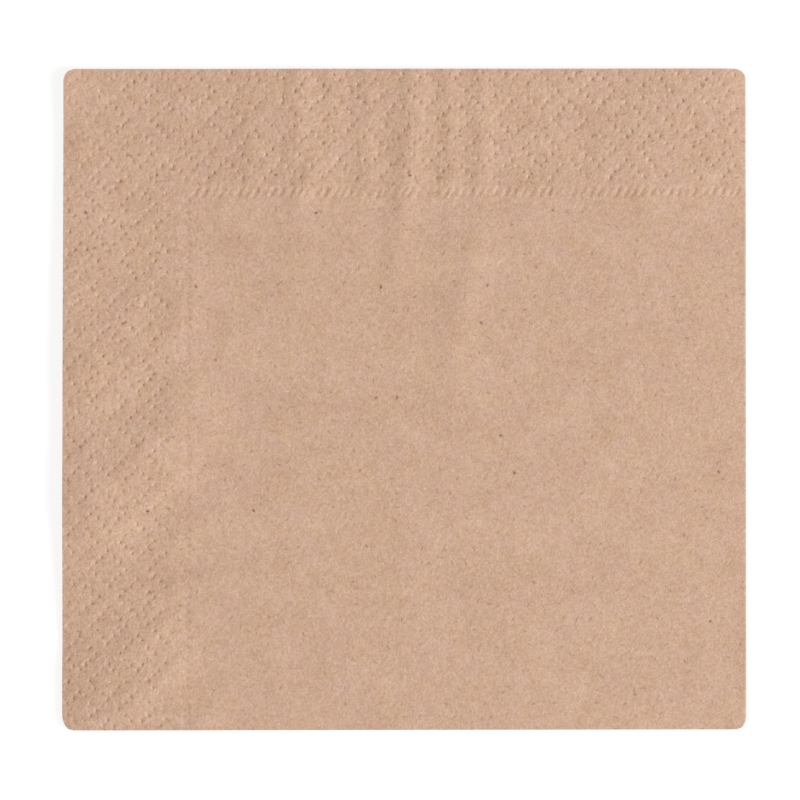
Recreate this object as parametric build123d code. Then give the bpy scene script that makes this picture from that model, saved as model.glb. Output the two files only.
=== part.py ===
from build123d import *
import math
import os

# A paper napkin of kraft tissue, folded in four and lying flat.
# One sheet is folded once along a line parallel to X, which lies at -Y, and once more along a line parallel
# to Y, which lies at +X. The four leaves' free edges lie at +Y and at -X, and the top leaf has an embossed
# border along those two edges: diamonds of small pits, with a slanted rope line inside them.
# X runs along the width, Y along the depth and Z up. The origin lies under the middle of the napkin, on the
# surface that it rests on. Lengths are in millimetres and angles in degrees.

# The open sheet and its folds
OPEN_WIDTH = 330.0  # along X, before it is folded in half at +X
OPEN_DEPTH = 320.0  # along Y, before it is folded in half at -Y
PAPER = 0.30  # one leaf of crepe tissue as it lies, not pressed
LEAF_GAP = 0.20  # air between one leaf and the next
CORNER_RADIUS = 2.6  # rounding of the folded napkin's corners, seen from above

# The diamonds of the border, measured from the free edges
DOT_STEP = 1.40  # from a dot to the next one of a diamond, along X and along Y
DOTS_PER_SIDE = 3  # steps along one side of a diamond
DOT_WIDTH = 0.95  # across a dot's mouth
DIAMOND_SPACING = 13.94  # from a diamond to the next one, across the border
SPACING_ALONG_X = 13.84  # the same along the border at +Y
SPACING_ALONG_Y = 13.55  # the same along the border at -X
FIRST_ROW = 5.2  # first row of diamonds, from the edge at +Y
FIRST_COLUMN = 4.4  # first column of diamonds, from the edge at -X
LAST_LINE = 3  # rows and columns of diamonds are numbered from 0, and the dots end at the middle of this one

# The rope line inside the diamonds
ROPE_INSET = 29.65  # middle of the rope line, from the free edge
ROPE_WIDTH = 2.2  # across the rope line
ROPE_STROKE = 0.95  # across one stroke of the rope
ROPE_PITCH_X = 2.08  # from a stroke to the next, along the border at +Y
ROPE_PITCH_Y = 2.03  # the same along the border at -X
ROPE_LEAN = 26.0  # from straight across the line

PRESSED_SHARE = 0.5  # part of a leaf's thickness that the embossing presses in
EDGE_MARGIN = 0.15  # paper left between an embossed mark and an edge or a fold

# The folded napkin
WIDTH = OPEN_WIDTH / 2
DEPTH = OPEN_DEPTH / 2
HEIGHT = 4 * PAPER + 3 * LEAF_GAP
LEFT = -WIDTH / 2
BACK = DEPTH / 2

# The first fold wraps one gap, and the second wraps the folded pair of leaves and its own gap
FIRST_INNER_RADIUS = LEAF_GAP / 2
FIRST_OUTER_RADIUS = FIRST_INNER_RADIUS + PAPER
SECOND_OUTER_RADIUS = HEIGHT / 2
SECOND_FOLD_X = WIDTH / 2 - SECOND_OUTER_RADIUS
FIRST_FOLD_Y = FIRST_OUTER_RADIUS - DEPTH / 2


def pair_of_leaves():
    """The section of the sheet after its first fold: a hairpin, with its bend at -Y."""
    z_middle = FIRST_OUTER_RADIUS
    outer = FIRST_OUTER_RADIUS
    inner = FIRST_INNER_RADIUS
    under = Line((BACK, 0), (FIRST_FOLD_Y, 0))
    outside_bend = RadiusArc((FIRST_FOLD_Y, 0), (FIRST_FOLD_Y, 2 * outer), outer)
    over = Line((FIRST_FOLD_Y, 2 * outer), (BACK, 2 * outer))
    upper_edge = Line((BACK, 2 * outer), (BACK, z_middle + inner))
    upper_inside = Line((BACK, z_middle + inner), (FIRST_FOLD_Y, z_middle + inner))
    inside_bend = RadiusArc((FIRST_FOLD_Y, z_middle + inner), (FIRST_FOLD_Y, z_middle - inner), -inner)
    lower_inside = Line((FIRST_FOLD_Y, z_middle - inner), (BACK, z_middle - inner))
    lower_edge = Line((BACK, z_middle - inner), (BACK, 0))
    outline = [under, outside_bend, over, upper_edge, upper_inside, inside_bend, lower_inside, lower_edge]
    return Plane((SECOND_FOLD_X, 0, 0), x_dir=(0, 1, 0), z_dir=(1, 0, 0)) * make_face(outline)


def folded_sheet():
    """The whole sheet: the lower pair of leaves, the second fold round it, and the upper pair."""
    section = pair_of_leaves()
    lower_pair = extrude(section, amount=LEFT - SECOND_FOLD_X)
    second_fold = revolve(section, Axis((SECOND_FOLD_X, 0, HEIGHT / 2), (0, -1, 0)), revolution_arc=180)
    upper_pair = mirror(lower_pair, about=Plane.XY.offset(HEIGHT / 2))
    return lower_pair + second_fold + upper_pair


def corner_offcut(x_side, y_side):
    """What the rounding takes away at one corner, which is at +X or -X and at +Y or -Y."""
    centre_x = x_side * (WIDTH / 2 - CORNER_RADIUS)
    centre_y = y_side * (DEPTH / 2 - CORNER_RADIUS)
    reach = CORNER_RADIUS + PAPER
    tall = HEIGHT + 2 * PAPER
    block = Pos(centre_x + x_side * reach / 2, centre_y + y_side * reach / 2, HEIGHT / 2) * Box(reach, reach, tall)
    round_part = Pos(centre_x, centre_y, HEIGHT / 2) * Cylinder(CORNER_RADIUS, tall)
    return block - round_part


def pit_tool(length, width):
    """A pit pressed into the top leaf: a pyramid on a rhombus, point down, with its mouth at Z = 0.

    The tool goes on above the mouth for the pit's own depth, so there it is twice as long and as wide.
    """
    depth = PRESSED_SHARE * PAPER
    rim = [Vector(width, 0, depth), Vector(0, length, depth), Vector(-width, 0, depth), Vector(0, -length, depth)]
    tip = Vector(0, 0, -depth)
    sides = [[rim[corner - 1], rim[corner], tip] for corner in range(len(rim))]
    return Solid(Shell([Face(Wire.make_polygon(outline)) for outline in [rim] + sides]))


def line_places(first, spacing_along, length):
    """Distances of the diamonds' rows or columns from a free edge, from one line before the first.

    Rows and columns lie half a spacing apart. The lines of the corner have the border's own spacing, and the
    lines after them have the spacing along that border.
    """
    corner_lines = LAST_LINE + 1
    count = corner_lines + math.ceil(2 * length / spacing_along)
    places = []
    for line in range(-1, count):
        in_corner = min(line, corner_lines)
        beyond = line - in_corner
        places.append(first + in_corner * DIAMOND_SPACING / 2 + beyond * spacing_along / 2)
    return places


def diamond_steps():
    """The dots of one diamond, in steps from its middle."""
    side = [(step, DOTS_PER_SIDE - step) for step in range(DOTS_PER_SIDE)]
    steps = []
    for _ in range(4):
        steps += side
        side = [(-y, x) for x, y in side]
    return steps


def has_room(x, y, radius):
    """Whether a mark of this radius stays on the flat of the top leaf."""
    keep = radius + EDGE_MARGIN
    on_flat = LEFT + keep <= x <= SECOND_FOLD_X - keep and FIRST_FOLD_Y + keep <= y <= BACK - keep
    past_x = abs(x) - (WIDTH / 2 - CORNER_RADIUS)
    past_y = abs(y) - (DEPTH / 2 - CORNER_RADIUS)
    in_corner = past_x > 0 and past_y > 0
    return on_flat and not (in_corner and math.hypot(past_x, past_y) > CORNER_RADIUS - keep)


def dot_places():
    """Where the dots lie: diamonds on every other crossing of the rows and columns, within the border."""
    columns = line_places(FIRST_COLUMN, SPACING_ALONG_X, WIDTH)
    rows = line_places(FIRST_ROW, SPACING_ALONG_Y, DEPTH)
    last = LAST_LINE + 1
    column_limit = columns[last] + DOT_STEP / 2
    row_limit = rows[last] + DOT_STEP / 2
    places = []
    for i, column in enumerate(columns):
        for j, row in enumerate(rows):
            if (i + j) % 2 or (i > last and j > last):
                continue
            for step_x, step_y in diamond_steps():
                from_left = column + step_x * DOT_STEP
                from_back = row + step_y * DOT_STEP
                in_border = from_left < column_limit or from_back < row_limit
                x = LEFT + from_left
                y = BACK - from_back
                if in_border and has_room(x, y, DOT_WIDTH / 2):
                    places.append((x, y))
    return places


def rope_places():
    """Where the rope's strokes lie, with the turn of each: along the border at +Y, then down the one at -X."""
    places = []
    for number in range(math.ceil(WIDTH / ROPE_PITCH_X)):
        places.append((LEFT + ROPE_INSET + (number + 1) * ROPE_PITCH_X, BACK - ROPE_INSET, -ROPE_LEAN))
    for number in range(math.ceil(DEPTH / ROPE_PITCH_Y)):
        places.append((LEFT + ROPE_INSET, BACK - ROPE_INSET - (number + 1) * ROPE_PITCH_Y, 90 - ROPE_LEAN))
    return [place for place in places if has_room(place[0], place[1], ROPE_WIDTH / 2)]


def embossing():
    """All the tools that press the border into the top leaf."""
    dot = pit_tool(DOT_WIDTH, DOT_WIDTH)
    stroke = pit_tool(ROPE_WIDTH / math.cos(math.radians(ROPE_LEAN)), ROPE_STROKE)
    dots = [dot.moved(Location((x, y, HEIGHT))) for x, y in dot_places()]
    strokes = [stroke.moved(Location((x, y, HEIGHT), (0, 0, turn))) for x, y, turn in rope_places()]
    return dots + strokes


napkin = folded_sheet()
napkin -= [corner_offcut(x_side, y_side) for x_side in (-1, 1) for y_side in (-1, 1)]
napkin -= embossing()

os.makedirs("parts", exist_ok=True)
export_step(napkin, "parts/napkin.step")
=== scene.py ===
"""A kraft paper napkin, folded in four and lying flat: its sheet, its finish and a plain studio round it.

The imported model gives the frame. The plain folded solid is replaced by one closed sheet of crepe tissue
with an embossed border, the ripples that handling leaves in it, and the grain, specks and fibres of the
paper. Lengths are in metres, and MM turns a size in millimetres into one. A place on a leaf is given by
its distances from the left and back edges, and sheet coordinates by a place on the open sheet.
"""

from __future__ import annotations

import logging
import math
from dataclasses import astuple, dataclass, field
from enum import Enum
from functools import partial

import bpy
import numpy as np
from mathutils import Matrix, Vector
from mathutils.geometry import delaunay_2d_cdt

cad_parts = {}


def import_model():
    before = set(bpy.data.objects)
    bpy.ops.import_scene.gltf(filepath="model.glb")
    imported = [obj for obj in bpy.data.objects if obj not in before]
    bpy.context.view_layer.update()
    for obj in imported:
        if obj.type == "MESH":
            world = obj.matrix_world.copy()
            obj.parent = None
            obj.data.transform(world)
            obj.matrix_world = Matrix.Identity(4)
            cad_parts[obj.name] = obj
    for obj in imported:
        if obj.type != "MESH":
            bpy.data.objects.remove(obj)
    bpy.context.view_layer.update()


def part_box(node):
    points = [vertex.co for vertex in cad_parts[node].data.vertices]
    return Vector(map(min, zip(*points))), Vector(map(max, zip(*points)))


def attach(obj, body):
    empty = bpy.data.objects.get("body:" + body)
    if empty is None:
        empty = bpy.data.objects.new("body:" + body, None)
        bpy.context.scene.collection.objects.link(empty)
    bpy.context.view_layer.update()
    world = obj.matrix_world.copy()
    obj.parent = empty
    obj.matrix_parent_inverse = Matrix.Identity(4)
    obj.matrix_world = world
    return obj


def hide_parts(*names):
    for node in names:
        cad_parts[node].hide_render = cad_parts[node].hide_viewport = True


MM = 0.001
NODE = "napkin"
BODY = "root"
SEED = 11
WHITE = "#FFFFFF"
POINTS_PER_BLOCK = 2000  # points that are compared with all the dots at once
SAME_PLACE_MM = 1e-5  # points of the sheet that lie nearer than this would be one
HULL_TRIANGLES = 0  # the Delaunay output that covers the points' whole outline with triangles

# A Mix node has sockets for each type of data, and these are the numbers of those for colours
MIX_FIRST, MIX_SECOND, MIX_RESULT = 6, 7, 2

Array = np.ndarray
Pair = tuple[float, float]
Tree = bpy.types.NodeTree
Socket = bpy.types.NodeSocket

log = logging.getLogger("napkin")


class Face(Enum):
    """The two faces of the paper: -1 for the one outside the first fold, and 1 for the one inside it."""

    OUTER = -1.0
    INNER = 1.0


class Edge(Enum):
    """The two free edges of the top leaf that carry the embossed border."""

    BACK = "back"
    LEFT = "left"


def linear_colour(code: str) -> tuple[float, float, float, float]:
    """Turns an sRGB hex code into a linear colour.

    A part c of it becomes c / 12.92 where it is dark, and ((c + 0.055) / 1.055)^2.4 elsewhere.

    Args:
        code: the colour as "#RRGGBB".

    Returns:
        Linear red, green and blue, with an alpha of 1.
    """
    parts = np.array([int(code[start : start + 2], 16) for start in (1, 3, 5)]) / 255
    linear = np.where(parts <= 0.04045, parts / 12.92, ((parts + 0.055) / 1.055) ** 2.4)
    return (*linear.tolist(), 1.0)


def add_node(
    tree: Tree, kind: str, inputs: dict | None = None, **settings: object
) -> bpy.types.NodeOutputs:
    """Adds one shader node with its settings, and links or sets its inputs.

    Args:
        tree: the node tree that gets the node.
        kind: the node's type name, without the ShaderNode that it starts with.
        inputs: for each input, by name or number, a socket to link from or a plain value.
        settings: attributes of the node itself.

    Returns:
        The new node's outputs.
    """
    node = tree.nodes.new(f"ShaderNode{kind}")
    for name, value in settings.items():
        setattr(node, name, value)
    for name, value in (inputs or {}).items():
        if isinstance(value, Socket):
            tree.links.new(value, node.inputs[name])
        else:
            node.inputs[name].default_value = value
    return node.outputs


def cleared_nodes(owner: bpy.types.Material | bpy.types.World) -> Tree:
    """Turns on the nodes of a material or a world, and clears them away.

    Args:
        owner: the material or world.

    Returns:
        Its node tree, with nothing in it.
    """
    owner.use_nodes = True
    owner.node_tree.nodes.clear()
    return owner.node_tree


def add_object(name: str, data: bpy.types.ID) -> bpy.types.Object:
    """Puts a mesh, a lamp or a camera into the scene.

    Args:
        name: the new object's name.
        data: what the object shows.

    Returns:
        The new object.
    """
    thing = bpy.data.objects.new(name, data)
    bpy.context.scene.collection.objects.link(thing)
    return thing


def smooth_step(low: float, high: float, value: Array) -> Array:
    """Rises from 0 at low to 1 at high, with 3 t^2 - 2 t^3 between them."""
    share = np.clip((value - low) / (high - low), 0, 1)
    return share * share * (3 - 2 * share)


def nearest_site(points: Array, sites: Array) -> tuple[Array, Array]:
    """Finds the site that lies nearest to each point, a block of points at a time.

    Args:
        points: places, one a row.
        sites: places to measure from, one a row.

    Returns:
        The distance to the nearest site, and that site's number.
    """
    blocks = np.array_split(points, max(1, len(points) // POINTS_PER_BLOCK))
    numbers = [((block[:, None, :] - sites) ** 2).sum(axis=2).argmin(axis=1) for block in blocks]
    number = np.concatenate(numbers)
    return np.linalg.norm(points - sites[number], axis=1), number


@dataclass(frozen=True)
class FoldedSheet:
    """The open sheet, and the formulas that fold it in four.

    A point of the sheet has two coordinates: across runs along X from one free edge to the other, and along
    runs down Y. The first fold lies at -Y and the second, round the folded pair of leaves, at +X.
    """

    width: float
    depth: float
    height: float
    paper: float = 0.30 * MM
    # Radii of the corners along X and along Y, seen from above
    back_left_corner: Pair = (2.90 * MM, 2.66 * MM)
    back_right_corner: Pair = (3.14 * MM, 2.30 * MM)
    front_left_corner: Pair = (2.54 * MM, 4.10 * MM)
    front_right_corner: Pair = (2.37 * MM, 3.14 * MM)
    # How far each leaf's free edges are set back, from the lowest leaf to the top one
    left_setbacks: tuple[float, ...] = (0.30 * MM, 0.10 * MM, 0.35 * MM, 0.0)
    back_setbacks: tuple[float, ...] = (0.15 * MM, 0.35 * MM, 0.25 * MM, 0.0)
    # Small moves of whole edges: a lean, or a move at each of the edge's two ends
    left_edge_lean: float = 0.42 * MM
    back_edge_draw: Pair = (0.29 * MM, 0.16 * MM)
    front_edge_spread: Pair = (0.17 * MM, -0.12 * MM)
    right_edge_spread: Pair = (0.06 * MM, 0.22 * MM)
    fold_squareness: float = 5.0
    fold_samples: int = 4001

    @property
    def gap(self) -> float:
        """Air between one leaf and the next."""
        return (self.height - 4 * self.paper) / 3

    @property
    def first_radius(self) -> float:
        """Outside radius of the first fold, which wraps one gap."""
        return self.gap / 2 + self.paper

    @property
    def second_radius(self) -> float:
        """Outside radius of the second fold, which wraps both pairs of leaves."""
        return self.height / 2

    @property
    def open_width(self) -> float:
        """Width of the sheet before it is folded."""
        return 2 * self.width

    @property
    def open_depth(self) -> float:
        """Depth of the sheet before it is folded."""
        return 2 * self.depth

    @property
    def flat_width(self) -> float:
        """From the free edge at -X to the start of the second fold."""
        return self.width - self.second_radius

    @property
    def flat_depth(self) -> float:
        """From the free edge at +Y to the start of the first fold."""
        return self.depth - self.first_radius

    def bend(self, share: Array) -> tuple[Array, Array]:
        """Goes evenly round a pressed fold, which is squarer than a circle: out^n + up^n = 1.

        At a turn t from level, out is |cos t|^(2/n), and up is |sin t|^(2/n) with the sign of t. The share
        is measured along that curve, so that the paper's grain keeps its scale on the fold.

        Args:
            share: 0 at the fold's lower end and 1 at its upper end.

        Returns:
            How far out and how far up each point lies from the fold's middle, in radii.
        """
        turn = np.linspace(-math.pi / 2, math.pi / 2, self.fold_samples)
        power = 2 / self.fold_squareness
        out = np.abs(np.cos(turn)) ** power
        up = np.sign(turn) * np.abs(np.sin(turn)) ** power
        run = np.append(0, np.cumsum(np.hypot(np.diff(out), np.diff(up))))
        return np.interp(share * run[-1], run, out), np.interp(share * run[-1], run, up)

    def fold(self, across: Array, along: Array, face: Face) -> Array:
        """Folds points of the sheet into place.

        The first fold lifts a leaf to R + r up and draws it in: y = back - flat - r out. The second turns
        that section round the middle of the height h: x = left + flat + (h/2 - lift) out, and
        z = h/2 + (h/2 - lift) up. Each leaf is then set back at its free edges.

        Args:
            across: distance along X on the open sheet, from the lowest leaf's free edge.
            along: distance along Y on the open sheet, from the outer leaves' free edge.
            face: which face of the paper the points lie on.

        Returns:
            Places in the frame, one a row.
        """
        half_paper = self.paper / 2
        first_share = np.clip((along - self.flat_depth) / (2 * self.first_radius), 0, 1)
        second_share = np.clip((across - self.flat_width) / (2 * self.second_radius), 0, 1)
        first_out, first_up = self.bend(first_share)
        second_out, second_up = self.bend(second_share)
        from_back = np.minimum(np.minimum(along, self.open_depth - along), self.flat_depth)
        from_left = np.minimum(np.minimum(across, self.open_width - across), self.flat_width)

        radius = self.first_radius - half_paper - face.value * half_paper
        reach = self.second_radius - self.first_radius - radius * first_up
        leaves = self.leaf_shares(first_share, second_share)
        left_setback = np.array(self.left_setbacks) @ leaves * (1 - from_left / self.flat_width)
        back_setback = np.array(self.back_setbacks) @ leaves * (1 - from_back / self.flat_depth)
        x = from_left + left_setback + reach * second_out - self.width / 2
        y = self.depth / 2 - from_back - back_setback - radius * first_out
        z = self.second_radius + reach * second_up
        return np.column_stack([x, y, z])

    @staticmethod
    def leaf_shares(first_share: Array, second_share: Array) -> Array:
        """How far each point belongs to each leaf, going round the folds.

        Args:
            first_share: how far round the first fold each point lies, from 0 to 1.
            second_share: the same for the second fold.

        Returns:
            A row of shares for each leaf, from the lowest one to the top one.
        """
        lower = np.stack([1 - first_share, first_share]) * (1 - second_share)
        upper = np.stack([first_share, 1 - first_share]) * second_share
        return np.vstack([lower, upper])

    def trim(self, places: Array) -> Array:
        """Rounds the corners as seen from above, and moves each edge by its small lean, draw or spread.

        A corner has two radii, along X and along Y. A place there is (a, b) from the rounding's middle, in
        those radii, and is drawn in by max(a, b) / hypot(a, b), which makes a quarter of an oval.

        Args:
            places: places in the frame, one a row.

        Returns:
            The places with X and Y changed.
        """
        trimmed = places.copy()
        corners = (
            (self.back_left_corner, (-1, 1)),
            (self.back_right_corner, (1, 1)),
            (self.front_left_corner, (-1, -1)),
            (self.front_right_corner, (1, -1)),
        )
        half_size = np.array([self.width, self.depth]) / 2
        for radii, sides in corners:
            outward = np.array(radii) * sides
            middle = half_size * sides - outward
            past = (trimmed[:, :2] - middle) / outward
            inside = (past > 0).all(axis=1)
            drawn = past[inside].max(axis=1) / np.linalg.norm(past[inside], axis=1)
            trimmed[inside, :2] = middle + past[inside] * drawn[:, None] * outward
        right_share = 0.5 + trimmed[:, 0] / self.width
        back_share = 0.5 + trimmed[:, 1] / self.depth
        left_to_right = np.stack([1 - right_share, right_share])
        back_to_front = np.stack([back_share, 1 - back_share])
        trimmed[:, 0] += self.left_edge_lean * (1 - right_share) * (back_share - 0.5)
        trimmed[:, 0] += np.array(self.right_edge_spread) @ back_to_front * right_share
        trimmed[:, 1] -= np.array(self.back_edge_draw) @ left_to_right * back_share
        trimmed[:, 1] -= np.array(self.front_edge_spread) @ left_to_right * (1 - back_share)
        return trimmed


@dataclass(frozen=True)
class Pit:
    """One pressed dot: how far its bell curve reaches along X and along Y, and its depth."""

    radius_x: float
    radius_y: float
    depth: float


@dataclass(frozen=True)
class DiamondBorder:
    """The diamonds of small pressed dots along the two free edges, measured from those edges."""

    step: float = 1.40 * MM
    steps_per_side: int = 3
    spacing: float = 13.94 * MM
    spacing_along_back: float = 13.84 * MM
    spacing_along_left: float = 13.55 * MM
    first_row: float = 5.2 * MM
    first_column: float = 4.4 * MM
    last_line: int = 3
    margin: float = 0.75 * MM
    back_pit: Pit = Pit(radius_x=0.24 * MM, radius_y=0.32 * MM, depth=0.26 * MM)
    left_pit: Pit = Pit(radius_x=0.27 * MM, radius_y=0.26 * MM, depth=0.27 * MM)
    # How far the dots differ in depth, and how far they and each band lie off the even pattern
    unevenness: float = 0.20
    scatter: float = 0.16 * MM
    left_band_shift: Pair = (-0.45 * MM, -0.25 * MM)
    back_band_shift: Pair = (-0.16 * MM, 0.06 * MM)
    # The dots get fainter towards the free corner: an oval's radii, where in it they do, and by how much
    faint_corner: Pair = (15 * MM, 26 * MM)
    faint_span: Pair = (0.4, 1.1)
    faint_share: float = 0.5
    # Rings of mesh points round each dot
    ring_radii: tuple[float, ...] = (0.16 * MM, 0.34 * MM, 0.60 * MM)
    ring_points: int = 8

    def lines(self, first: float, spacing_along: float, length: float) -> Array:
        """Distances of the diamonds' rows or columns from a free edge, from one line before the first.

        Args:
            first: distance of line 0.
            spacing_along: spacing of diamonds beyond the corner of the border.
            length: length that the lines have to cover.

        Returns:
            The distances, with lines half a spacing apart.
        """
        corner_lines = self.last_line + 1
        numbers = np.arange(-1, corner_lines + math.ceil(2 * length / spacing_along))
        in_corner = np.minimum(numbers, corner_lines)
        return first + in_corner * self.spacing / 2 + (numbers - in_corner) * spacing_along / 2

    def places(self, sheet: FoldedSheet) -> Array:
        """Where the dots lie: diamonds on every other crossing of the rows and columns, within the border.

        Args:
            sheet: the folded sheet that carries the border.

        Returns:
            Their places on a leaf, one dot a row.
        """
        columns = self.lines(self.first_column, self.spacing_along_back, sheet.width)
        rows = self.lines(self.first_row, self.spacing_along_left, sheet.depth)
        last = self.last_line + 1
        i, j = np.meshgrid(np.arange(len(columns)), np.arange(len(rows)), indexing="ij")
        wanted = ((i + j) % 2 == 0) & ((i <= last) | (j <= last))
        middles = np.column_stack([columns[i[wanted]], rows[j[wanted]]])
        dots = (middles[:, None, :] + self.diamond() * self.step).reshape(-1, 2)
        in_back_band = self.in_back_band(dots)
        in_border = in_back_band | (dots[:, 0] < columns[last] + self.step / 2)
        dots = dots + np.where(in_back_band[:, None], self.back_band_shift, self.left_band_shift)
        dots = dots + self.scatter * np.random.default_rng(SEED).standard_normal(dots.shape)
        on_flat = (dots > self.margin).all(axis=1)
        on_flat &= (dots < np.array([sheet.flat_width, sheet.flat_depth]) - self.margin).all(axis=1)
        return dots[in_border & on_flat]

    def in_back_band(self, dots: Array) -> Array:
        """Whether each dot lies in the border along the back edge, which takes in the corner."""
        return dots[:, 1] < self.first_row + (self.last_line * self.spacing + self.step) / 2

    def diamond(self) -> Array:
        """The dots of one diamond: one side, turned three more times by 90 degrees.

        Returns:
            Steps from the diamond's middle along X and Y, one dot a row.
        """
        steps = np.arange(self.steps_per_side)
        side = np.column_stack([steps, self.steps_per_side - steps])
        turns = [side]
        for _ in range(3):
            turns.append(np.column_stack([-turns[-1][:, 1], turns[-1][:, 0]]))
        return np.vstack(turns)

    def pits(self, points: Array, dots: Array) -> tuple[Array, Array]:
        """How the dots press each point: exp(-(x/a)^2 / 2 - (y/b)^2 / 2) round the nearest dot.

        The dots differ in depth, have one form in each band, and are fainter towards the free corner.

        Args:
            points: places on a leaf, one a row.
            dots: the dots, in the same terms.

        Returns:
            A share that is 0 on plain paper and about 1 in the middle of a dot, and a depth.
        """
        strength = 1 + self.unevenness * np.random.default_rng(SEED).standard_normal(len(dots))
        from_corner = np.linalg.norm(dots / self.faint_corner, axis=1)
        strength *= self.faint_share + (1 - self.faint_share) * smooth_step(*self.faint_span, from_corner)
        _, number = nearest_site(points, dots)
        forms = np.array([astuple(self.left_pit), astuple(self.back_pit)])
        form = forms[self.in_back_band(dots).astype(int)][number]
        offset = (points - dots[number]) / form[:, :2]
        share = np.maximum(strength, 0)[number] * np.exp(-0.5 * (offset**2).sum(axis=1))
        return share, share * form[:, 2]

    def sample(self, dots: Array, rings: int, ring_points: int) -> Array:
        """Points that carry the pits' shape: the middle of each dot, and rings round it.

        Args:
            dots: the dots, one a row.
            rings: how many of the ring radii to use, from the widest.
            ring_points: points on each ring.

        Returns:
            The points, in the dots' own terms.
        """
        turn = 2 * math.pi * np.arange(ring_points) / ring_points
        circle = np.column_stack([np.cos(turn), np.sin(turn)])
        radii = np.array(self.ring_radii[-rings:])
        offsets = np.vstack([np.zeros((1, 2)), (radii[:, None, None] * circle).reshape(-1, 2)])
        return (dots[:, None, :] + offsets).reshape(-1, 2)


@dataclass(frozen=True)
class RopeLine:
    """A line of slanted pressed strokes inside the diamonds, along one of the free edges."""

    edge: Edge
    start: float
    inset: float
    width: float
    pitch: float
    depth: float
    outer_fade: float = 0.45 * MM
    inner_fade: float = 0.45 * MM
    stroke_radius: float = 0.36 * MM
    lean: float = math.radians(26)
    # How far the strokes differ in depth, the most that one has, and how far they lie off their pitch
    unevenness: float = 0.35
    strongest: float = 2.0
    scatter: float = 0.10
    # Mesh points across the line, and from one stroke to the next
    rows: int = 11
    points_per_stroke: int = 8

    @property
    def along_x(self) -> bool:
        """Whether the line runs along X, as the one at the back edge does."""
        return self.edge is Edge.BACK

    @property
    def slant(self) -> float:
        """How far the strokes move along the line for each step away from the free edge."""
        return math.tan(self.lean) * (1 if self.along_x else -1)

    @property
    def reach(self) -> float:
        """From the middle of the line to where its strokes have faded out."""
        return self.width / 2 + max(self.outer_fade, self.inner_fade)

    def run_and_off(self, points: Array) -> tuple[Array, Array]:
        """Measures points along the line, following the strokes' slant, and away from its middle.

        Args:
            points: places on a leaf, one a row.

        Returns:
            Each point's distance along the line, and its distance from the line's middle.
        """
        run, off = points.T if self.along_x else points.T[::-1]
        off = off - self.inset
        return run + off * self.slant, off

    def covers(self, points: Array, margin: float) -> Array:
        """Whether each point lies on the line, or within a margin of it."""
        run, off = self.run_and_off(points)
        return (np.abs(off) < self.reach + margin) & (run > self.start)

    def sample(self, length: float) -> Array:
        """Points that carry the strokes' shape: rows along the line, leaning with the strokes.

        Args:
            length: how far the line may run, from the other free edge.

        Returns:
            Places on a leaf, one a row.
        """
        step = self.pitch / self.points_per_stroke
        run = np.arange(self.start + self.pitch / 2, length, step)
        run, off = np.meshgrid(run, np.linspace(-self.reach, self.reach, self.rows))
        run, off = (run - off * self.slant).ravel(), (self.inset + off).ravel()
        points = np.column_stack([run, off] if self.along_x else [off, run])
        return points[run < length - step]

    def strokes(self, points: Array) -> Array:
        """How deep the strokes are at each point: bell curves across the strokes, within the line's width.

        The first stroke lies one pitch after the line's start.

        Args:
            points: places on a leaf, one a row.

        Returns:
            0 on plain paper, and about the line's depth in the middle of a stroke.
        """
        run, off = self.run_and_off(points)
        phase = (run - self.start) / self.pitch
        started = phase > 0.5
        number = np.where(started, np.round(phase), 0).astype(int)
        chance = np.random.default_rng(SEED).standard_normal((2, number.max() + 1))
        strength = np.clip(1 + self.unevenness * chance[0], 0, self.strongest)[number]
        across = (phase - number - self.scatter * chance[1][number]) * self.pitch * math.cos(self.lean)
        within = smooth_step(-self.outer_fade, self.outer_fade, self.width / 2 + off)
        within = within * smooth_step(-self.inner_fade, self.inner_fade, self.width / 2 - off)
        return self.depth * started * strength * within * np.exp(-0.5 * (across / self.stroke_radius) ** 2)


@dataclass(frozen=True)
class Ripple:
    """One soft ridge that handling left in the leaves, measured from the left and back edges."""

    start: Pair
    end: Pair
    radius: float
    height: float
    shortest_fade: float = 4 * MM

    @classmethod
    def from_mm(cls, row: tuple[float, ...]) -> Ripple:
        """A ripple from a row of sizes in millimetres."""
        sizes = [size * MM for size in row]
        return cls(tuple(sizes[:2]), tuple(sizes[2:4]), *sizes[4:])

    def lift(self, points: Array) -> Array:
        """Works out the ridge: a bell curve across its line, which fades out past its two ends.

        Args:
            points: places on a leaf, one a row.

        Returns:
            The ridge's height at each point.
        """
        start, end = np.array(self.start), np.array(self.end)
        length = np.linalg.norm(end - start)
        direction = (end - start) / length
        offset = points - start
        run = offset @ direction
        across = offset @ np.array([-direction[1], direction[0]])
        fade = max(self.shortest_fade, self.radius)
        ends = smooth_step(-fade, fade, run) * smooth_step(-fade, fade, length - run)
        return self.height * ends * np.exp(-0.5 * (across / self.radius) ** 2)


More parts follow.
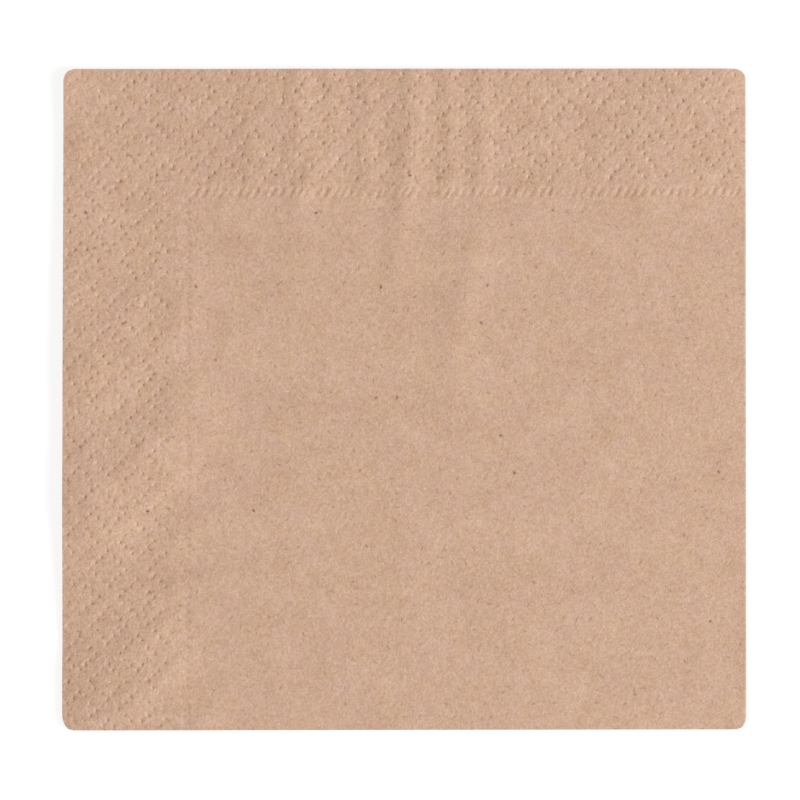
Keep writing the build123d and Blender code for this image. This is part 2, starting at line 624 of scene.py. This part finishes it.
# Ripples in millimetres: the place on a leaf where each starts, where it ends, its radius and its height
RIPPLES = (
    # Upright ripples at the back edge, on two broad swells, three of which run on into the plain field
    (55.5, -3.0, 55.5, 33.0, 8.0, 0.45),
    (145.0, -3.0, 145.0, 30.0, 7.5, 0.26),
    (57.4, -3.0, 57.2, 7.0, 1.9, 0.30),
    (56.4, -3.0, 56.0, 32.0, 1.6, 0.14),
    (56.5, 33.0, 56.7, 49.0, 2.2, 0.10),
    (65.2, -3.0, 64.9, 10.5, 1.8, 0.22),
    (73.4, -3.0, 73.4, 31.0, 1.9, 0.26),
    (84.8, -3.0, 83.3, 26.5, 2.3, 0.50),
    (82.8, 27.0, 79.2, 56.0, 1.9, 0.33),
    (93.0, -3.0, 93.9, 30.5, 1.8, 0.27),
    (101.2, -3.0, 101.2, 32.0, 1.9, 0.34),
    (101.2, 37.0, 95.2, 62.0, 2.6, 0.34),
    (95.2, 62.0, 93.8, 80.0, 3.0, 0.26),
    (56.9, 32.0, 61.2, 22.7, 1.7, 0.38),
    (45.4, 17.3, 45.4, 30.5, 2.2, 0.19),
    # Slanted ripples in the left band, on three broad swells
    (3.0, 78.3, 31.4, 51.2, 7.5, 0.55),
    (3.0, 109.0, 35.0, 78.6, 6.5, 1.05),
    (5.5, 156.0, 25.5, 137.5, 7.0, 0.80),
    (13.5, 60.5, 20.0, 52.4, 1.8, 0.22),
    (24.4, 67.5, 32.1, 54.8, 2.2, 0.22),
    (37.9, 70.0, 41.0, 61.3, 1.9, 0.14),
    (28.5, 73.5, 34.0, 68.5, 2.2, 0.14),
    (3.8, 92.7, 11.0, 89.6, 1.6, 0.18),
    (13.0, 111.6, 31.5, 95.0, 2.0, 0.20),
    (23.6, 118.8, 33.3, 107.9, 2.6, 0.32),
    (23.6, 127.0, 37.4, 122.0, 1.9, 0.20),
    (18.8, 140.6, 28.5, 130.9, 1.1, 0.11),
    (24.8, 140.6, 34.5, 130.9, 1.4, 0.16),
    (15.2, 155.5, 32.1, 140.1, 2.0, 0.30),
    (32.8, 160.5, 39.1, 151.0, 2.2, 0.24),
    (17.5, 94.6, 21.1, 89.7, 1.4, 0.16),
    (12.3, 127.6, 19.6, 125.2, 1.5, 0.20),
    (8.9, 144.2, 25.8, 133.2, 1.5, 0.22),
    (12.5, 153.7, 17.5, 149.0, 1.4, 0.18),
    # A faint crease in the plain field
    (66.0, 137.0, 78.2, 159.0, 2.9, 0.12),
    # The left edge, which stands up a little, most at its back corner, and its pressed front end
    (-0.5, 40.0, -0.5, 112.0, 14.0, 0.60),
    (-0.5, -3.0, -0.5, 122.0, 8.0, 0.40),
    (-1.0, -3.0, -1.0, 8.0, 3.2, 0.50),
    (-0.5, 124.0, -0.5, 163.0, 12.0, -0.50),
    (-0.5, 135.0, -0.5, 142.0, 2.6, -0.45),
)


@dataclass(frozen=True)
class Handling:
    """What folding, packing and handling did to the leaves: ripples, and edges rolled down at the folds."""

    ripples: tuple[Ripple, ...] = tuple(Ripple.from_mm(row) for row in RIPPLES)
    right_roll: float = 0.05 * MM
    right_roll_at_back: float = 0.55 * MM
    right_roll_span: Pair = (22 * MM, 38 * MM)
    right_roll_reach: float = 3.8 * MM
    front_roll: float = 0.14 * MM
    front_roll_reach: float = 2.6 * MM

    def lift(self, points: Array, sheet: FoldedSheet) -> Array:
        """How far the top leaf is raised at each point.

        Args:
            points: places on a leaf, one a row.
            sheet: the folded sheet.

        Returns:
            The sum of the ripples, less each fold's roll, which falls off as exp(-distance / reach).
        """
        raised = sum(one.lift(points) for one in self.ripples)
        from_right = sheet.width - points[:, 0]
        from_front = sheet.depth - points[:, 1]
        at_back = 1 - smooth_step(*self.right_roll_span, points[:, 1])
        right_roll = self.right_roll + self.right_roll_at_back * at_back
        rolled = right_roll * np.exp(-from_right / self.right_roll_reach)
        rolled += self.front_roll * np.exp(-from_front / self.front_roll_reach)
        return raised - rolled


@dataclass(frozen=True)
class Grain:
    """One scale of the paper's unevenness: how far it shades the colour, and its relief in millimetres."""

    size_mm: float
    contrast: float
    relief_mm: float = 0.0
    border_relief_mm: float = 0.0
    detail: float = 2.0
    roughness: float = 0.6


@dataclass(frozen=True)
class Flecks:
    """One kind of mark in the pulp, scattered at one to a cell: ovals, or fibres if they are long and bent.

    Lengths and widths are half of the mark's own. A mark's strength is strength * chance^rarity, so a high
    rarity leaves a few strong marks among many that hardly show.
    """

    colour: str
    cell_mm: float
    length_mm: float
    width_mm: float
    strength: float
    rarity: float
    bend: float = 0.0
    shift_mm: float = 0.0
    core: float = 0.35

    def draw(self, tree: Tree, sheet: Socket, under: Socket) -> Socket:
        """Draws the marks over a colour.

        Each place is turned by its mark's own angle, then bent to y + bend (chance - 1/2) x^2. It lies at
        r = hypot(x / length, y / width), and the mark fades from its full strength at its core to none
        at r = 1.

        Args:
            tree: the material's nodes.
            sheet: place on the open sheet in millimetres.
            under: the colour that the marks lie on.

        Returns:
            The colour with the marks.
        """
        node = partial(add_node, tree)
        shift = (self.shift_mm, self.shift_mm, 0.0)
        moved = node("Mapping", {"Vector": sheet, "Location": shift})["Vector"]
        cells = {"Vector": moved, "Scale": 1 / self.cell_mm}
        scatter = node("TexVoronoi", cells, voronoi_dimensions="2D")
        chance = node("SeparateColor", {"Color": scatter["Color"]})
        local = node("VectorMath", {0: moved, 1: scatter["Position"]}, operation="SUBTRACT")["Vector"]
        angle = node("Math", {0: chance["Red"], 1: 2 * math.pi}, operation="MULTIPLY")["Value"]
        turn = {"Vector": local, "Angle": angle}
        place = node("SeparateXYZ", {0: node("VectorRotate", turn, rotation_type="Z_AXIS")["Vector"]})

        squared = node("Math", {0: place["X"], 1: place["X"]}, operation="MULTIPLY")["Value"]
        curve = {0: chance["Blue"], 1: self.bend, 2: -self.bend / 2}
        curve = node("Math", curve, operation="MULTIPLY_ADD")["Value"]
        bent = node("Math", {0: squared, 1: curve, 2: place["Y"]}, operation="MULTIPLY_ADD")["Value"]
        straightened = node("CombineXYZ", {"X": place["X"], "Y": bent})["Vector"]
        radii = (1 / self.length_mm, 1 / self.width_mm, 0.0)
        scaled = node("VectorMath", {0: straightened, 1: radii}, operation="MULTIPLY")["Vector"]
        distance = node("VectorMath", {0: scaled}, operation="LENGTH")["Value"]

        fade = {"Value": distance, "From Min": 1.0, "From Max": self.core, "To Max": self.strength}
        inside = node("MapRange", fade)["Result"]
        rare = node("Math", {0: chance["Green"], 1: self.rarity}, operation="POWER")["Value"]
        share = node("Math", {0: inside, 1: rare}, operation="MULTIPLY")["Value"]
        colours = {MIX_FIRST: under, MIX_SECOND: linear_colour(self.colour)}
        return node("Mix", {"Factor": share, **colours}, data_type="RGBA")[MIX_RESULT]


@dataclass(frozen=True)
class KraftTissue:
    """Unbleached two-ply crepe tissue: creped on a drum, then pressed with the border.

    To the eye it is matt and slightly fuzzy, light brown with faint pinkish and tan clouds, a fine grain,
    dark specks of bark, light grains and short fibres, darker or lighter than the sheet. Where the pulp is
    dense it is browner, and where it is thin it is paler and greyer. The grain and the fibres of real
    tissue are finer: they are drawn as coarse as they need to be to show.
    """

    name: str = "kraft crepe tissue"
    dense_brown: str = "#B69375"
    dense_red: str = "#BA8F73"
    thin_tan: str = "#DEBCA0"
    thin_pink: str = "#DEBAA7"
    roughness: float = 0.92
    ior: float = 1.5
    sheen: float = 0.08
    sheen_roughness: float = 0.6
    crepe: Grain = Grain(0.62, contrast=1.42, relief_mm=0.14, border_relief_mm=-0.03, roughness=0.75)
    floc: Grain = Grain(1.4, contrast=0.50, relief_mm=0.08, border_relief_mm=0.17)
    formation: Grain = Grain(13.0, contrast=0.43)
    clouds: Grain = Grain(4.2, contrast=0.34, detail=3.0)
    tint_range: Pair = (0.36, 0.64)
    # How much darker pressed paper is: partly denser pulp in the dots, partly painted shade in the pits and
    # on the second fold
    dense_pulp_and_painted_shade: float = 0.12
    light_fibres: Flecks = Flecks("#E6CDB8", 8.0, 1.3, 0.15, strength=0.55, rarity=2.0, bend=0.5)
    brown_fibres: Flecks = Flecks(
        "#9C6A4F", 8.0, 1.3, 0.16, strength=0.55, rarity=2.5, bend=0.5, shift_mm=57.0
    )
    light_grains: Flecks = Flecks("#F4DDC6", 2.6, 0.34, 0.26, strength=0.45, rarity=3.0, shift_mm=31.0)
    bark_slivers: Flecks = Flecks("#8F6547", 3.4, 0.78, 0.29, strength=0.52, rarity=1.9, shift_mm=23.0)
    bark_specks: Flecks = Flecks("#7A5339", 9.0, 0.62, 0.44, strength=0.95, rarity=8.0, shift_mm=73.0)

    def material(self) -> bpy.types.Material:
        """Builds the material. The sheet attribute holds the place on the open sheet in millimetres.

        Returns:
            The finished material.
        """
        material = bpy.data.materials.new(self.name)
        tree = cleared_nodes(material)
        sheet = add_node(tree, "Attribute", attribute_name="sheet")["Vector"]
        colour, height = self.pulp(tree, sheet)
        marks = (
            self.light_fibres, self.brown_fibres, self.light_grains, self.bark_slivers, self.bark_specks
        )
        for kind in marks:
            colour = kind.draw(tree, sheet, colour)
        relief = add_node(tree, "Bump", {"Height": height, "Strength": 1.0, "Distance": MM})["Normal"]
        surface = {
            "Base Color": colour,
            "Roughness": self.roughness,
            "IOR": self.ior,
            "Sheen Weight": self.sheen,
            "Sheen Roughness": self.sheen_roughness,
            "Normal": relief,
        }
        shader = add_node(tree, "BsdfPrincipled", surface)["BSDF"]
        add_node(tree, "OutputMaterial", {"Surface": shader})
        return material

    def pulp(self, tree: Tree, sheet: Socket) -> tuple[Socket, Socket]:
        """The sheet's own colour and relief, from several scales of noise and the embossing.

        The paleness is the sum of contrast * (noise - 1/2) over the scales, about 1/2, less a darkening
        where
        the paper is pressed: partly the denser pulp of the dots, partly painted shade in the pits and along
        the second fold. The height is the sum of relief * noise, with other relief in the border. The
        clouds also tint the dense pulp and the thin pulp.

        Args:
            tree: the material's nodes.
            sheet: place on the open sheet in millimetres.

        Returns:
            The colour, and the height in millimetres.
        """
        node = partial(add_node, tree)
        # How far the dots press the paper, together with the painted shade along the second fold
        pressed = node("Attribute", attribute_name="pressed")["Fac"]
        border = node("Attribute", attribute_name="border")["Fac"]
        grains = (self.crepe, self.floc, self.formation, self.clouds)
        pale = (1 - sum(grain.contrast for grain in grains)) / 2
        height = 0.0
        for grain in grains:
            form = {"Scale": 1 / grain.size_mm, "Detail": grain.detail, "Roughness": grain.roughness}
            noise = node("TexNoise", {"Vector": sheet, **form})
            shade = {0: noise["Fac"], 1: grain.contrast, 2: pale}
            pale = node("Math", shade, operation="MULTIPLY_ADD")["Value"]
            relief = {0: border, 1: grain.border_relief_mm, 2: grain.relief_mm}
            relief = node("Math", relief, operation="MULTIPLY_ADD")["Value"]
            rise = {0: noise["Fac"], 1: relief, 2: height}
            height = node("Math", rise, operation="MULTIPLY_ADD")["Value"]
        # Painted shade in the pits and along the second fold, with the dots' denser pulp
        shade = {0: pressed, 1: -self.dense_pulp_and_painted_shade, 2: pale}
        pale = node("Math", shade, operation="MULTIPLY_ADD")["Value"]

        cloud = node("SeparateColor", {"Color": noise["Color"]})
        low, high = self.tint_range
        pairs = (("Green", self.dense_brown, self.dense_red), ("Blue", self.thin_tan, self.thin_pink))
        tinted = []
        for channel, first, second in pairs:
            tint = node("MapRange", {"Value": cloud[channel], "From Min": low, "From Max": high})["Result"]
            colours = {MIX_FIRST: linear_colour(first), MIX_SECOND: linear_colour(second)}
            tinted.append(node("Mix", {"Factor": tint, **colours}, data_type="RGBA")[MIX_RESULT])
        colours = {MIX_FIRST: tinted[0], MIX_SECOND: tinted[1]}
        return node("Mix", {"Factor": pale, **colours}, data_type="RGBA")[MIX_RESULT], height


@dataclass(frozen=True)
class Napkin:
    """The napkin: one closed sheet of paper, folded in four, with its embossed border and its ripples."""

    sheet: FoldedSheet
    diamonds: DiamondBorder = field(default_factory=DiamondBorder)
    ropes: tuple[RopeLine, ...] = (
        RopeLine(
            Edge.BACK, start=29.9 * MM, inset=29.8 * MM, width=2.1 * MM, pitch=2.08 * MM, depth=0.155 * MM
        ),
        RopeLine(
            Edge.LEFT, start=29.8 * MM, inset=29.9 * MM, width=1.5 * MM, pitch=2.03 * MM, depth=0.20 * MM,
            outer_fade=1.6 * MM, inner_fade=0.35 * MM,
        ),
    )
    handling: Handling = field(default_factory=Handling)
    finish: KraftTissue = field(default_factory=KraftTissue)
    name: str = "folded_napkin"
    # How far apart the mesh's points lie, and how many go round a fold
    rim_step: float = 1.3 * MM
    fold_points: int = 16
    border_step: float = 0.85 * MM
    field_step: float = 1.6 * MM
    under_step: float = 2.4 * MM
    under_field_step: float = 4.8 * MM
    under_rings: int = 1
    under_ring_points: int = 6
    hidden_step: float = 8.0 * MM
    # The border's relief on the underside, and the width of its inner side as a share of the border's
    under_relief: float = 0.08 * MM
    border_blend: float = 0.1
    # Painted shade along the second fold, where the paper rolls down: its strength and how far in it
    # reaches
    fold_shade_strength: float = 1.6
    fold_shade_reach: float = 0.45 * MM
    sharp_angle: float = math.radians(60)
    grain_apart_mm: float = 40.0

    @property
    def border_width(self) -> float:
        """From a free edge to the inner side of the rope lines."""
        return max(rope.inset + rope.reach for rope in self.ropes)

    def build(self) -> bpy.types.Object:
        """Builds the sheet as one closed mesh and dresses it.

        Returns:
            The napkin's object, linked to the scene.
        """
        rim, folds = self.rim_points(), self.fold_lines()
        outer = np.vstack([rim, folds, self.top_points(), self.under_points(), self.hidden_points()])
        inner = np.vstack([rim, folds, self.inner_points()])
        outer_place, outer_marks = self.surface(outer, Face.OUTER)
        inner_place, inner_marks = self.surface(inner, Face.INNER)
        outer_faces = self.triangles(outer)
        inner_faces = self.triangles(inner)[:, ::-1] + len(outer)
        rim_faces = self.rim_faces(len(rim), len(outer))

        mesh = bpy.data.meshes.new(self.name)
        places = np.vstack([outer_place, inner_place])
        faces = np.vstack([outer_faces, inner_faces, rim_faces])
        mesh.from_pydata(places.tolist(), [], faces.tolist())
        mesh.polygons.foreach_set("use_smooth", np.ones(len(faces), dtype=bool))
        mesh.set_sharp_from_angle(angle=self.sharp_angle)
        self.write_attributes(mesh, outer, inner, np.vstack([outer_marks, inner_marks]))
        mesh.materials.append(self.finish.material())
        log.info("%s: %d points, %d triangles", self.name, len(places), len(faces))
        return add_object(self.name, mesh)

    def write_attributes(self, mesh: bpy.types.Mesh, outer: Array, inner: Array, marks: Array) -> None:
        """Keeps each point's place on the open sheet, in millimetres, what the embossing did there, and the
        painted shade along the second fold.

        The two faces lie on two levels of the grain, so that they don't look alike.

        Args:
            mesh: the napkin's mesh.
            outer: sheet coordinates of the outer face's points, which come first.
            inner: sheet coordinates of the inner face's points.
            marks: for each point, how far it is painted darker, where a dot presses it and along the second
                fold, and whether it lies in the border.
        """
        sides = np.repeat([Face.OUTER.value, Face.INNER.value], [len(outer), len(inner)])
        place = np.column_stack([np.vstack([outer, inner]) / MM, sides * self.grain_apart_mm])
        mesh.attributes.new("sheet", "FLOAT_VECTOR", "POINT").data.foreach_set("vector", place.ravel())
        for name, values in zip(("pressed", "border"), marks.T):
            layer = mesh.attributes.new(name, "FLOAT", "POINT")
            layer.data.foreach_set("value", np.ascontiguousarray(values))

    def rim_lines(self) -> tuple[Array, Array]:
        """Spaces points along the sheet's two kinds of edge, with several in each fold.

        Returns:
            Their distances along X, and along Y, on the open sheet.
        """
        sheet = self.sheet
        lines = []
        for flat, whole in ((sheet.flat_width, sheet.open_width), (sheet.flat_depth, sheet.open_depth)):
            steps = math.ceil(flat / self.rim_step)
            flat_part = np.linspace(0, flat, steps + 1)
            fold_part = np.linspace(flat, whole - flat, self.fold_points + 1)[1:-1]
            lines.append(np.concatenate([flat_part, fold_part, whole - flat_part[::-1]]))
        return lines[0], lines[1]

    def rim_points(self) -> Array:
        """The sheet's outline as one loop: along one edge, down the next, and back.

        Returns:
            Sheet coordinates, one point a row.
        """
        across, along = self.rim_lines()
        width, depth = self.sheet.open_width, self.sheet.open_depth
        sides = [
            np.column_stack([across[:-1], np.zeros(len(across) - 1)]),
            np.column_stack([np.full(len(along) - 1, width), along[:-1]]),
            np.column_stack([across[:0:-1], np.full(len(across) - 1, depth)]),
            np.column_stack([np.zeros(len(along) - 1), along[:0:-1]]),
        ]
        return np.vstack(sides)

    def fold_lines(self) -> Array:
        """Rows of points that carry the two bends.

        Returns:
            Sheet coordinates, one point a row.
        """
        sheet = self.sheet
        across, along = self.rim_lines()
        in_second = (across >= sheet.flat_width) & (across <= sheet.open_width - sheet.flat_width)
        in_first = (along >= sheet.flat_depth) & (along <= sheet.open_depth - sheet.flat_depth)
        second = np.stack(np.meshgrid(across[in_second], along[1:-1]), axis=-1).reshape(-1, 2)
        rest = across[~in_second][1:-1]
        first = np.stack(np.meshgrid(rest, along[in_first]), axis=-1).reshape(-1, 2)
        return np.vstack([second, first])

    def to_top(self, points: Array) -> Array:
        """Turns places on a leaf into sheet coordinates of the top leaf, and back."""
        return np.column_stack([self.sheet.open_width - points[:, 0], points[:, 1]])

    def spread(self, step: float, border: bool) -> Array:
        """Even points over one leaf, in staggered rows that lie sqrt(3/4) of a step apart.

        Args:
            step: distance between points.
            border: whether to keep those of the embossed border, or those of the plain field.

        Returns:
            Places on a leaf, one a row.
        """
        rows = np.arange(step / 2, self.sheet.flat_depth - step / 2, step * math.sqrt(3 / 4))
        columns = np.arange(step / 2, self.sheet.flat_width - step, step)
        u, v = np.meshgrid(columns, rows)
        u = u + (np.arange(len(rows)) % 2)[:, None] * step / 2
        points = np.column_stack([u.ravel(), v.ravel()])
        in_border = (points < self.border_width + step / 2).any(axis=1)
        return points[in_border == border]

    def leaf_points(self, border_step: float, field_step: float) -> Array:
        """Even points over a whole leaf, with one step in the border and one in the plain field."""
        return np.vstack([self.spread(border_step, True), self.spread(field_step, False)])

    def clear_of_marks(self, points: Array, dots: Array) -> Array:
        """Leaves out points within a third of a step of the dots' rings, or half a step of a rope line.

        Args:
            points: places on a leaf, one a row.
            dots: the dots, in the same terms.

        Returns:
            The points that are left.
        """
        on_rope = np.any([rope.covers(points, self.border_step / 2) for rope in self.ropes], axis=0)
        distance, _ = nearest_site(points, dots)
        room = self.diamonds.ring_radii[-1] + self.border_step / 3
        return points[~on_rope & (distance > room)]

    def top_points(self) -> Array:
        """Points of the top leaf: dense on the border's marks, even between them, wide on the plain field.

        Returns:
            Sheet coordinates, one point a row.
        """
        sheet, diamonds = self.sheet, self.diamonds
        dots = diamonds.places(sheet)
        marks = [diamonds.sample(dots, len(diamonds.ring_radii), diamonds.ring_points)]
        for rope in self.ropes:
            marks.append(rope.sample(sheet.flat_width if rope.along_x else sheet.flat_depth))
        between = self.clear_of_marks(self.spread(self.border_step, True), dots)
        return self.to_top(np.vstack([*marks, between, self.spread(self.field_step, False)]))

    def under_points(self) -> Array:
        """Points of the lowest leaf's underside, where the border shows faintly from the back.

        Returns:
            Sheet coordinates, one point a row.
        """
        dots = self.diamonds.places(self.sheet)
        rings = self.diamonds.sample(dots, self.under_rings, self.under_ring_points)
        plain = self.leaf_points(self.under_step, self.under_field_step)
        return np.vstack([rings, self.clear_of_marks(plain, dots)])

    def hidden_points(self) -> Array:
        """Points of the two leaves that lie inside the fold, on the outer face.

        Returns:
            Sheet coordinates, one point a row.
        """
        points = self.leaf_points(self.hidden_step, self.hidden_step)
        points[:, 1] = self.sheet.open_depth - points[:, 1]
        return np.vstack([points, self.to_top(points)])

    def inner_points(self) -> Array:
        """Points of all four leaves on the inner face."""
        points = self.leaf_points(self.hidden_step, self.hidden_step)
        return np.vstack([points, self.to_top(points), self.hidden_points()])

    def surface(self, points: Array, face: Face) -> tuple[Array, Array]:
        """Folds points of the sheet, then lifts them with the ripples and presses the border into them.

        A leaf at height z of the full height h is lifted by z / h of what the top leaf is.

        Args:
            points: sheet coordinates, one point a row.
            face: which face of the paper they lie on.

        Returns:
            Places in the frame, and for each point how far it is painted darker, where a dot presses it and
            along the second fold, and whether it lies in the border.
        """
        sheet = self.sheet
        place = sheet.fold(points[:, 0], points[:, 1], face)
        from_edges = np.column_stack([place[:, 0] + sheet.width / 2, sheet.depth / 2 - place[:, 1]])
        share = place[:, 2] / sheet.height
        place[:, 2] += share * self.handling.lift(from_edges, sheet)
        # Painted shade along the second fold, to which the dots' pressing on the top leaf is added
        pressed = self.painted_fold_shade(from_edges)
        border = self.border_share(from_edges)
        if face is Face.OUTER:
            outside = points[:, 1] < sheet.flat_depth
            on_top = outside & (points[:, 0] > sheet.open_width - sheet.flat_width)
            under = outside & (points[:, 0] < sheet.flat_width)
            dots, depth = self.marks(self.to_top(points[on_top]))
            pressed[on_top] += dots
            place[on_top, 2] -= depth
            place[under, 2] += self.under_lift(points[under])
        return sheet.trim(place), np.column_stack([pressed, border])

    def painted_fold_shade(self, points: Array) -> Array:
        """Painted shade along the second fold's rolled rim: less inwards from it, as exp(-distance /
        reach).
        """
        from_right = np.maximum(self.sheet.width - points[:, 0], 0)
        return self.fold_shade_strength * np.exp(-from_right / self.fold_shade_reach)

    def border_share(self, points: Array) -> Array:
        """1 in the embossed border, 0 on the plain field, and smooth across its inner side."""
        low, high = (self.border_width * (1 + side * self.border_blend) for side in (-1, 1))
        return 1 - smooth_step(low, high, points.min(axis=1))

    def marks(self, points: Array) -> tuple[Array, Array]:
        """How the border is pressed at each point of a leaf.

        Args:
            points: places on a leaf, one a row.

        Returns:
            How far a dot presses each point, from 0 to about 1, and the depth of the dots and strokes.
        """
        share, depth = self.diamonds.pits(points, self.diamonds.places(self.sheet))
        strokes = np.max([rope.strokes(points) for rope in self.ropes], axis=0)
        return share, depth + strokes

    def under_lift(self, points: Array) -> Array:
        """Raises the underside round the border's marks, so that the marks' backs stand on the table.

        Args:
            points: places on a leaf, one a row.

        Returns:
            How far each point is raised.
        """
        _, depth = self.marks(points)
        pressed = np.clip(depth / self.diamonds.back_pit.depth, 0, 1)
        return self.under_relief * self.border_share(points) * (1 - pressed)

    @staticmethod
    def triangles(points: Array) -> Array:
        """Joins scattered points of the open sheet by Delaunay triangles.

        Args:
            points: sheet coordinates, one point a row.

        Returns:
            Point numbers, one triangle a row.
        """
        flat = (points / MM).tolist()
        _, _, faces, sources, _, _ = delaunay_2d_cdt(flat, [], [], HULL_TRIANGLES, SAME_PLACE_MM, True)
        first = np.array([source[0] for source in sources])
        return first[np.array(faces)]

    @staticmethod
    def rim_faces(count: int, inner_start: int) -> Array:
        """The cut edge of the paper: two triangles between each pair of rim points on the two faces.

        Args:
            count: how many points the rim has.
            inner_start: number of the inner face's first point.

        Returns:
            Point numbers, one triangle a row.
        """
        here = np.arange(count)
        there = (here + 1) % count
        first = np.column_stack([there, here, here + inner_start])
        second = np.column_stack([there, here + inner_start, there + inner_start])
        return np.vstack([first, second])


@dataclass(frozen=True)
class Studio:
    """A white table, a large soft lamp from the right, even light all round, and a camera looking down."""

    frame_width: float = 193.3 * MM
    camera_height: float = 1.1
    camera_offset: Pair = (-1.02 * MM, -0.27 * MM)
    sensor_width: float = 36.0
    table_size: float = 6.0
    table_drop: float = 0.02 * MM
    table_colour: str = "#E4E4E4"
    table_shade: str = "#737373"
    table_lift: float = 0.87
    lamp_shares: tuple[float, float, float] = (0.56, 0.60, 0.64)
    lamp_distance: float = 3.6
    lamp_size: float = 1.2
    lamp_elevation: float = math.radians(36)
    lamp_azimuth: float = math.radians(-16)

    def build(self, height: float) -> bpy.types.Object:
        """Sets up the studio.

        Args:
            height: height of the napkin's top, where the camera's frame has its width.

        Returns:
            The table top, which isn't part of the napkin.
        """
        self.light_all_round()
        self.lamp()
        self.camera(height)
        bpy.context.scene.view_settings.view_transform = "Standard"
        return self.table()

    @staticmethod
    def seen(tree: Tree) -> Socket:
        """Tells what the camera sees from light that falls on things.

        Args:
            tree: the nodes of the table or the world.

        Returns:
            1 for what is seen directly, mirrored or through glass, and 0 for light that falls on things.
        """
        path = add_node(tree, "LightPath")
        rays = {0: path["Is Glossy Ray"], 1: path["Is Transmission Ray"]}
        indirect = add_node(tree, "Math", rays, operation="MAXIMUM")["Value"]
        rays = {0: path["Is Camera Ray"], 1: indirect}
        return add_node(tree, "Math", rays, operation="MAXIMUM")["Value"]

    def light_all_round(self) -> None:
        """Lights the world evenly with what the lamp leaves, a little warm, and shows it as white."""
        world = bpy.data.worlds.new("white room")
        tree = cleared_nodes(world)
        rest = (*(1 - share for share in self.lamp_shares), 1.0)
        colours = {MIX_FIRST: rest, MIX_SECOND: linear_colour(WHITE)}
        colour = add_node(tree, "Mix", {"Factor": self.seen(tree), **colours}, data_type="RGBA")[MIX_RESULT]
        light = add_node(tree, "Background", {"Color": colour, "Strength": 1.0})["Background"]
        add_node(tree, "OutputWorld", {"Surface": light})
        bpy.context.scene.world = world

    def lamp(self) -> None:
        """One square lamp, a little cool.

        Its power is share * pi^2 * d^2 / sin(elevation), which lights a flat surface by that share.
        """
        share = max(self.lamp_shares)
        data = bpy.data.lights.new("soft lamp", "AREA")
        data.size = self.lamp_size
        data.color = [part / share for part in self.lamp_shares]
        data.energy = share * (math.pi * self.lamp_distance) ** 2 / math.sin(self.lamp_elevation)
        level, up = math.cos(self.lamp_elevation), math.sin(self.lamp_elevation)
        direction = Vector((level * math.cos(self.lamp_azimuth), level * math.sin(self.lamp_azimuth), up))
        lamp = add_object("soft lamp", data)
        lamp.location = direction * self.lamp_distance
        lamp.rotation_euler = direction.to_track_quat("Z", "Y").to_euler()

    def camera(self, height: float) -> None:
        """A camera straight above, with a long lens that frames the given width at the napkin's top.

        Args:
            height: height of the napkin's top.
        """
        data = bpy.data.cameras.new("camera above")
        data.sensor_width = self.sensor_width
        data.lens = self.sensor_width * self.camera_height / self.frame_width
        camera = add_object("camera above", data)
        camera.location = (*self.camera_offset, self.camera_height + height)
        bpy.context.scene.camera = camera

    def table(self) -> bpy.types.Object:
        """A plain white table top just under the napkin.

        Light that falls from it on the napkin has its own pale colour. Where it is seen, it is a darker
        matt surface with a glow, so that it shows as white and keeps a soft shadow.

        Returns:
            The table top's object.
        """
        half = self.table_size / 2
        corners = [(-half, -half), (half, -half), (half, half), (-half, half)]
        mesh = bpy.data.meshes.new("table top")
        mesh.from_pydata([(x, y, -self.table_drop) for x, y in corners], [], [(0, 1, 2, 3)])
        material = bpy.data.materials.new("white table")
        tree = cleared_nodes(material)
        seen = self.seen(tree)
        colours = {MIX_FIRST: linear_colour(self.table_colour), MIX_SECOND: linear_colour(self.table_shade)}
        colour = add_node(tree, "Mix", {"Factor": seen, **colours}, data_type="RGBA")[MIX_RESULT]
        matt = add_node(tree, "BsdfDiffuse", {"Color": colour})["BSDF"]
        glow = add_node(tree, "Math", {0: seen, 1: self.table_lift}, operation="MULTIPLY")["Value"]
        white = add_node(tree, "Emission", {"Color": linear_colour(WHITE), "Strength": glow})["Emission"]
        both = add_node(tree, "AddShader", {0: matt, 1: white})["Shader"]
        add_node(tree, "OutputMaterial", {"Surface": both})
        mesh.materials.append(material)
        return add_object("table_top", mesh)


def main() -> None:
    """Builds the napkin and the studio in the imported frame."""
    logging.basicConfig(level=logging.INFO, format="%(name)s: %(message)s")
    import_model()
    low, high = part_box(NODE)
    sheet = FoldedSheet(width=high[0] - low[0], depth=high[1] - low[1], height=high[2] - low[2])

    piece = Napkin(sheet).build()
    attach(piece, BODY)
    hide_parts(NODE)
    Studio().build(sheet.height)


if __name__ == "__main__":
    main()
